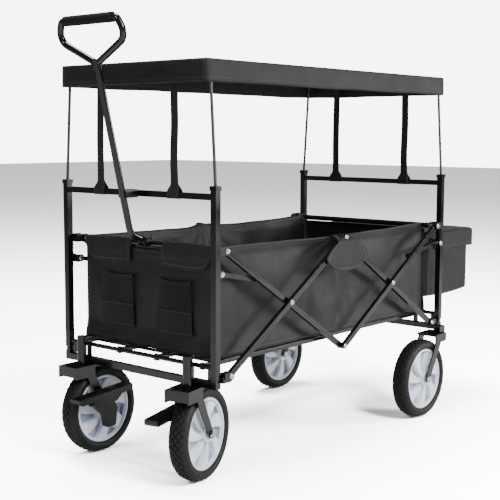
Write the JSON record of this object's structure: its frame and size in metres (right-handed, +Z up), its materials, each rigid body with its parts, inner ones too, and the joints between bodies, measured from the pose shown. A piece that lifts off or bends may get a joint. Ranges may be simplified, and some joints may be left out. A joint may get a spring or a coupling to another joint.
{
  "type": "folding canopy wagon",
  "caption": "Folding pull wagon with an open fabric tub, flat canopy on thin poles, swivel front casters with brakes, a pull handle and a lidded bag at the back.",
  "frame": {"origin": "on the floor under the centre of the overall bounding box", "axes": "+X towards the front, where the pull handle is; +Y to the wagon's left, across the axles; +Z up"},
  "size_m": [1.292, 0.562, 1.003],
  "materials": {
    "painted_steel": "satin",
    "bare_steel": "polished",
    "grey_pole": "satin",
    "black_plastic": "matt",
    "tyre": "matt",
    "rim": "silver",
    "black_fabric": "woven",
    "webbing": "woven",
    "foam": "matt"
  },
  "bodies": {
    "front_base": {"front_lower_frame": "painted_steel", "low_rivets_front": "bare_steel"},
    "caster_left": {"caster_fork_left": "painted_steel", "caster_axle_left": "bare_steel", "brake_housing_left": "black_plastic"},
    "caster_right": {"caster_fork_right": "painted_steel", "caster_axle_right": "bare_steel", "brake_housing_right": "black_plastic"},
    "pedal_left": {"brake_pedal_left": "black_plastic"},
    "pedal_right": {"brake_pedal_right": "black_plastic"},
    "wheel_front_left": {"front_tyre_left": "tyre", "front_rim_left": "rim"},
    "wheel_front_right": {"front_tyre_right": "tyre", "front_rim_right": "rim"},
    "front_outer_bars": {"front_outer_bar_left": "painted_steel", "front_outer_bar_right": "painted_steel", "crossing_rivets_front": "bare_steel"},
    "front_inner_bars": {"front_inner_bar_left": "painted_steel", "front_inner_bar_right": "painted_steel", "centre_rivets_low": "bare_steel"},
    "rear_outer_bars": {"rear_outer_bar_left": "painted_steel", "rear_outer_bar_right": "painted_steel", "crossing_rivets_rear": "bare_steel"},
    "rear_inner_bars": {"rear_inner_bar_left": "painted_steel", "rear_inner_bar_right": "painted_steel"},
    "front_upper": {"upper_frame_front": "painted_steel", "corner_brackets_front": "black_plastic", "upper_rivets_front": "bare_steel", "canopy_bow_front": "grey_pole", "canopy_straps_front": "webbing", "canopy": "black_fabric", "top_rail_front": "painted_steel", "front_panel": "black_fabric", "front_flaps": "black_fabric", "front_pockets": "black_fabric", "tub_fabric": "black_fabric", "handle_clip": "black_plastic"},
    "rear_upper": {"upper_frame_rear": "painted_steel", "corner_brackets_rear": "black_plastic", "upper_rivets_rear": "bare_steel", "canopy_bow_rear": "grey_pole", "canopy_straps_rear": "webbing", "top_rail_rear": "painted_steel", "rear_panel": "black_fabric", "rear_bag": "black_fabric"},
    "bag_lid": {"bag_lid": "black_fabric"},
    "links_front": {"brace_links_front": "painted_steel"},
    "links_rear": {"brace_links_rear": "painted_steel"},
    "rear_base": {"rear_lower_frame": "painted_steel", "rear_forks": "painted_steel", "rear_axles": "bare_steel", "low_rivets_rear": "bare_steel"},
    "wheel_rear_left": {"rear_tyre_left": "tyre", "rear_rim_left": "rim"},
    "wheel_rear_right": {"rear_tyre_right": "tyre", "rear_rim_right": "rim"},
    "base_half_front": {"base_frame_front": "painted_steel"},
    "base_half_rear": {"base_frame_rear": "painted_steel"},
    "handle": {"handle_frame": "painted_steel", "handle_grip": "foam"}
  },
  "joints": [
    {"name": "caster_swivel_left", "type": "hinge", "parent": "front_base", "child": "caster_left", "pos_m": [0.519, 0.171, 0.25], "axis": [0, 0, 1], "continuous": true},
    {"name": "front_wheel_spin_left", "type": "hinge", "parent": "caster_left", "child": "wheel_front_left", "pos_m": [0.46931, 0.15953, 0.105], "axis": [-0.225, 0.9744, 0], "continuous": true},
    {"name": "rear_wheel_spin_left", "type": "hinge", "parent": "rear_base", "child": "wheel_rear_left", "pos_m": [-0.302, 0.245, 0.105], "axis": [0, 1, 0], "continuous": true},
    {"name": "brake_pedal_left", "type": "hinge", "parent": "caster_left", "child": "pedal_left", "pos_m": [0.53175, 0.12468, 0.146], "axis": [-0.225, 0.9744, 0], "range_deg": [0, 21]},
    {"name": "caster_swivel_right", "type": "hinge", "parent": "front_base", "child": "caster_right", "pos_m": [0.519, -0.171, 0.25], "axis": [0, 0, 1], "continuous": true},
    {"name": "front_wheel_spin_right", "type": "hinge", "parent": "caster_right", "child": "wheel_front_right", "pos_m": [0.46801, -0.17189, 0.105], "axis": [-0.0175, 0.9998, 0], "continuous": true},
    {"name": "rear_wheel_spin_right", "type": "hinge", "parent": "rear_base", "child": "wheel_rear_right", "pos_m": [-0.302, -0.245, 0.105], "axis": [0, 1, 0], "continuous": true},
    {"name": "brake_pedal_right", "type": "hinge", "parent": "caster_right", "child": "pedal_right", "pos_m": [0.52016, -0.12297, 0.146], "axis": [-0.0175, 0.9998, 0], "range_deg": [-1, 20]},
    {"name": "fold", "type": "hinge", "parent": "front_base", "child": "front_outer_bars", "pos_m": [0.466, 0, 0.245], "axis": [0, 1, 0], "range_deg": [0, 44.45]},
    {"name": "front_crossing", "type": "hinge", "parent": "front_outer_bars", "child": "front_inner_bars", "pos_m": [0.255, 0, 0.378], "axis": [0, 1, 0], "range_deg": [-88.9, 0]},
    {"name": "front_top_pivot", "type": "hinge", "parent": "front_inner_bars", "child": "front_upper", "pos_m": [0.466, 0, 0.511], "axis": [0, 1, 0], "range_deg": [0, 44.45], "deforming": ["canopy", "tub_fabric"]},
    {"name": "centre_low_pivot", "type": "hinge", "parent": "front_inner_bars", "child": "rear_outer_bars", "pos_m": [0.044, 0, 0.245], "axis": [0, 1, 0], "range_deg": [0, 88.9]},
    {"name": "rear_top_pivot", "type": "hinge", "parent": "rear_outer_bars", "child": "rear_upper", "pos_m": [-0.378, 0, 0.511], "axis": [0, 1, 0], "range_deg": [-44.45, 0]},
    {"name": "rear_crossing", "type": "hinge", "parent": "rear_outer_bars", "child": "rear_inner_bars", "pos_m": [-0.167, 0, 0.378], "axis": [0, 1, 0], "range_deg": [-88.9, 0]},
    {"name": "rear_low_pivot", "type": "hinge", "parent": "rear_inner_bars", "child": "rear_base", "pos_m": [-0.378, 0, 0.245], "axis": [0, 1, 0], "range_deg": [0, 44.45]},
    {"name": "front_brace", "type": "hinge", "parent": "front_upper", "child": "links_front", "pos_m": [0.4835, 0, 0.463], "axis": [0, 1, 0], "range_deg": [-54.11, 0]},
    {"name": "rear_brace", "type": "hinge", "parent": "rear_upper", "child": "links_rear", "pos_m": [-0.3955, 0, 0.463], "axis": [0, 1, 0], "range_deg": [0, 54.11]},
    {"name": "base_front", "type": "hinge", "parent": "front_base", "child": "base_half_front", "pos_m": [0.501, 0, 0.265], "axis": [0, 1, 0], "range_deg": [0, 70.82]},
    {"name": "base_rear", "type": "hinge", "parent": "rear_base", "child": "base_half_rear", "pos_m": [-0.413, 0, 0.265], "axis": [0, 1, 0], "range_deg": [-70.82, 0]},
    {"name": "handle_swing", "type": "hinge", "parent": "front_upper", "child": "handle", "pos_m": [0.48, 0, 0.52], "axis": [0, 1, 0], "range_deg": [0, 105]},
    {"name": "bag_lid_lift", "type": "hinge", "parent": "rear_upper", "child": "bag_lid", "pos_m": [-0.39, 0, 0.49], "axis": [0, 1, 0], "range_deg": [0, 70]}
  ],
  "couplings": [
    {"joint": "front_crossing", "follows": "fold", "ratio": -2},
    {"joint": "front_top_pivot", "follows": "fold", "ratio": 1},
    {"joint": "centre_low_pivot", "follows": "fold", "ratio": 2},
    {"joint": "rear_top_pivot", "follows": "fold", "ratio": -1},
    {"joint": "rear_crossing", "follows": "fold", "ratio": -2},
    {"joint": "rear_low_pivot", "follows": "fold", "ratio": 1},
    {"joint": "front_brace", "follows": "fold", "ratio": -1.217},
    {"joint": "rear_brace", "follows": "fold", "ratio": 1.217},
    {"joint": "base_front", "follows": "fold", "ratio": 1.593},
    {"joint": "base_rear", "follows": "fold", "ratio": -1.593}
  ]
}
